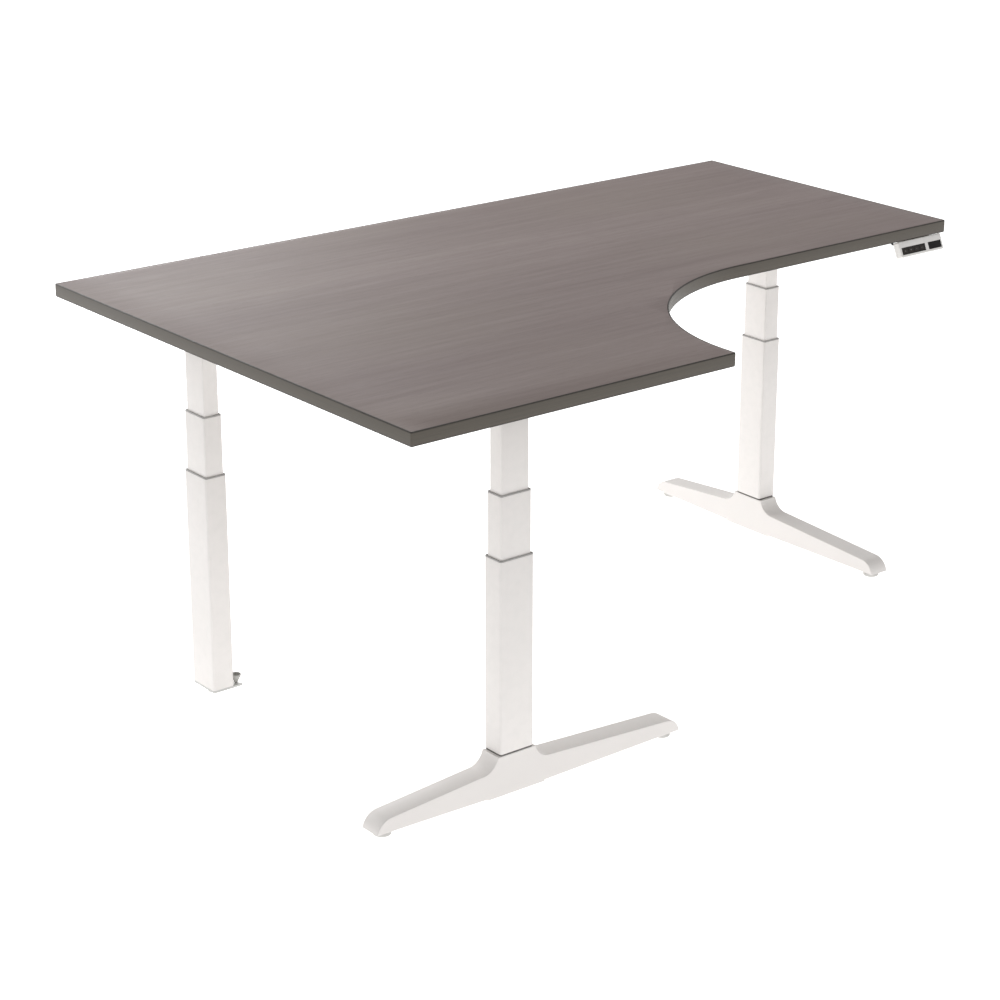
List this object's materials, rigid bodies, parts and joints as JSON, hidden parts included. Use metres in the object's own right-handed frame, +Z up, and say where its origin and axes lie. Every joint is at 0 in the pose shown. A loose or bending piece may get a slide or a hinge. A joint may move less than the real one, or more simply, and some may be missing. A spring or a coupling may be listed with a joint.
{
  "type": "height adjustable standing desk",
  "caption": "L-shaped desk with a curved inner corner on motor-driven telescoping legs, with two T-shaped feet, a corner base and a handset under the front edge.",
  "frame": {"origin": "middle of the footprint on the floor, below the desktop", "axes": "+X along the desk's long back edge towards its right end, +Y towards the back edge, +Z up"},
  "size_m": [1.8288, 1.225, 0.833],
  "materials": {
    "top_laminate": "fine-grained grey-brown wood laminate, satin",
    "edge_laminate": "matching edge strip, satin",
    "white_powder": "white powder coat",
    "frame_steel": "light powder coat",
    "grey_plastic": "moulded nylon",
    "dark_plastic": "dark moulded plastic",
    "dark_metal": "dark grey die casting",
    "silver_plastic": "silver painted plastic",
    "black_window": "gloss black acrylic",
    "keypad_film": "dark satin film",
    "key_rubber": "dark satin keys",
    "zinc_steel": "zinc-plated steel",
    "bronze": "turned bronze",
    "glide_nylon": "light grey nylon",
    "base_grey": "light grey paint",
    "foot_seal": "dark grey gasket",
    "cable_black": "black cable sheath"
  },
  "bodies": {
    "right_base": {"right_outer_tube": "white_powder", "right_outer_collar": "grey_plastic", "right_foot": "white_powder", "right_column_plate": "foot_seal"},
    "right_mid": {"right_mid_tube": "white_powder", "right_mid_collar": "grey_plastic", "right_spindle_nut": "bronze"},
    "desk": {"desktop_board": "top_laminate", "edge_band": "edge_laminate", "corner_bracket": "frame_steel", "front_bracket": "frame_steel", "right_bracket": "frame_steel", "long_rails": "frame_steel", "return_rails": "frame_steel", "control_box": "dark_plastic", "control_box_lid": "dark_plastic", "power_inlet": "dark_plastic", "motor_cables": "cable_black", "handset_cable": "cable_black", "cable_clips": "grey_plastic", "frame_screws": "zinc_steel", "handset_housing": "silver_plastic", "handset_back": "silver_plastic", "keypad_window": "keypad_film", "display_window": "black_window", "corner_inner_tube": "white_powder", "front_inner_tube": "white_powder", "right_inner_tube": "white_powder", "corner_drive_housing": "dark_metal", "front_drive_housing": "dark_metal", "right_drive_housing": "dark_metal", "corner_motor": "dark_plastic", "front_motor": "dark_plastic", "right_motor": "dark_plastic"},
    "corner_mid": {"corner_mid_tube": "white_powder", "corner_mid_collar": "grey_plastic", "corner_spindle_nut": "bronze"},
    "corner_base": {"corner_outer_tube": "white_powder", "corner_outer_collar": "grey_plastic", "corner_base": "base_grey", "cord_funnel": "base_grey"},
    "front_mid": {"front_mid_tube": "white_powder", "front_mid_collar": "grey_plastic", "front_spindle_nut": "bronze"},
    "front_base": {"front_outer_tube": "white_powder", "front_outer_collar": "grey_plastic", "front_foot": "white_powder", "front_column_plate": "foot_seal"},
    "corner_spindle": {"corner_spindle": "zinc_steel"},
    "front_spindle": {"front_spindle": "zinc_steel"},
    "right_spindle": {"right_spindle": "zinc_steel"},
    "up_button": {"up_button": "key_rubber"},
    "down_button": {"down_button": "key_rubber"},
    "memory_button_1": {"memory_button_1": "key_rubber"},
    "memory_button_2": {"memory_button_2": "key_rubber"},
    "front_foot_left_glide": {"front_foot_left_glide": "glide_nylon"},
    "front_foot_right_glide": {"front_foot_right_glide": "glide_nylon"},
    "right_foot_front_glide": {"right_foot_front_glide": "glide_nylon"},
    "right_foot_back_glide": {"right_foot_back_glide": "glide_nylon"},
    "corner_glide": {"corner_glide": "glide_nylon"}
  },
  "joints": [
    {"name": "right_lower_stage", "type": "slide", "parent": "right_base", "child": "right_mid", "axis": [0, 0, 1], "range_m": [-0.1115, 0.2135]},
    {"name": "desk_lift", "type": "slide", "parent": "right_mid", "child": "desk", "axis": [0, 0, 1], "range_m": [-0.1115, 0.2135]},
    {"name": "corner_upper_stage", "type": "slide", "parent": "desk", "child": "corner_mid", "axis": [0, 0, 1], "range_m": [-0.2135, 0.1115]},
    {"name": "corner_lower_stage", "type": "slide", "parent": "corner_mid", "child": "corner_base", "axis": [0, 0, 1], "range_m": [-0.2135, 0.1115]},
    {"name": "front_upper_stage", "type": "slide", "parent": "desk", "child": "front_mid", "axis": [0, 0, 1], "range_m": [-0.2135, 0.1115]},
    {"name": "front_lower_stage", "type": "slide", "parent": "front_mid", "child": "front_base", "axis": [0, 0, 1], "range_m": [-0.2135, 0.1115]},
    {"name": "corner_spindle_turn", "type": "hinge", "parent": "desk", "child": "corner_spindle", "pos_m": [-0.7769, 0.28, 0.5], "axis": [0, 0, 1], "range_deg": [-7726, 7726]},
    {"name": "front_spindle_turn", "type": "hinge", "parent": "desk", "child": "front_spindle", "pos_m": [-0.5819, -0.4655, 0.5], "axis": [0, 0, 1], "range_deg": [-7726, 7726]},
    {"name": "right_spindle_turn", "type": "hinge", "parent": "desk", "child": "right_spindle", "pos_m": [0.7769, 0.28, 0.5], "axis": [0, 0, 1], "range_deg": [-7726, 7726]},
    {"name": "up_button_press", "type": "slide", "parent": "desk", "child": "up_button", "axis": [0, 0.9205, -0.3907], "range_m": [0, 0.001], "stiffness_N_per_m": 300, "springref_m": -0.001},
    {"name": "down_button_press", "type": "slide", "parent": "desk", "child": "down_button", "axis": [0, 0.9205, -0.3907], "range_m": [0, 0.001], "stiffness_N_per_m": 300, "springref_m": -0.001},
    {"name": "memory_button_1_press", "type": "slide", "parent": "desk", "child": "memory_button_1", "axis": [0, 0.9205, -0.3907], "range_m": [0, 0.001], "stiffness_N_per_m": 300, "springref_m": -0.001},
    {"name": "memory_button_2_press", "type": "slide", "parent": "desk", "child": "memory_button_2", "axis": [0, 0.9205, -0.3907], "range_m": [0, 0.001], "stiffness_N_per_m": 300, "springref_m": -0.001},
    {"name": "front_foot_left_glide_turn", "type": "hinge", "parent": "front_base", "child": "front_foot_left_glide", "pos_m": [-0.8844, -0.4655, 0.02], "axis": [0, 0, 1], "range_deg": [-1080, 1080]},
    {"name": "front_foot_right_glide_turn", "type": "hinge", "parent": "front_base", "child": "front_foot_right_glide", "pos_m": [-0.1889, -0.4655, 0.02], "axis": [0, 0, 1], "range_deg": [-1080, 1080]},
    {"name": "right_foot_front_glide_turn", "type": "hinge", "parent": "right_base", "child": "right_foot_front_glide", "pos_m": [0.7769, -0.113, 0.02], "axis": [0, 0, 1], "range_deg": [-1080, 1080]},
    {"name": "right_foot_back_glide_turn", "type": "hinge", "parent": "right_base", "child": "right_foot_back_glide", "pos_m": [0.7769, 0.5825, 0.02], "axis": [0, 0, 1], "range_deg": [-1080, 1080]},
    {"name": "corner_glide_turn", "type": "hinge", "parent": "corner_base", "child": "corner_glide", "pos_m": [-0.7769, 0.28, 0.02], "axis": [0, 0, 1], "range_deg": [-1080, 1080]}
  ],
  "couplings": [
    {"joint": "right_lower_stage", "follows": "desk_lift", "ratio": 1},
    {"joint": "corner_upper_stage", "follows": "desk_lift", "ratio": -1},
    {"joint": "corner_lower_stage", "follows": "desk_lift", "ratio": -1},
    {"joint": "front_upper_stage", "follows": "desk_lift", "ratio": -1},
    {"joint": "front_lower_stage", "follows": "desk_lift", "ratio": -1},
    {"joint": "corner_spindle_turn", "follows": "desk_lift", "rad_per_m": 628.32},
    {"joint": "front_spindle_turn", "follows": "desk_lift", "rad_per_m": 628.32},
    {"joint": "right_spindle_turn", "follows": "desk_lift", "rad_per_m": 628.32}
  ]
}
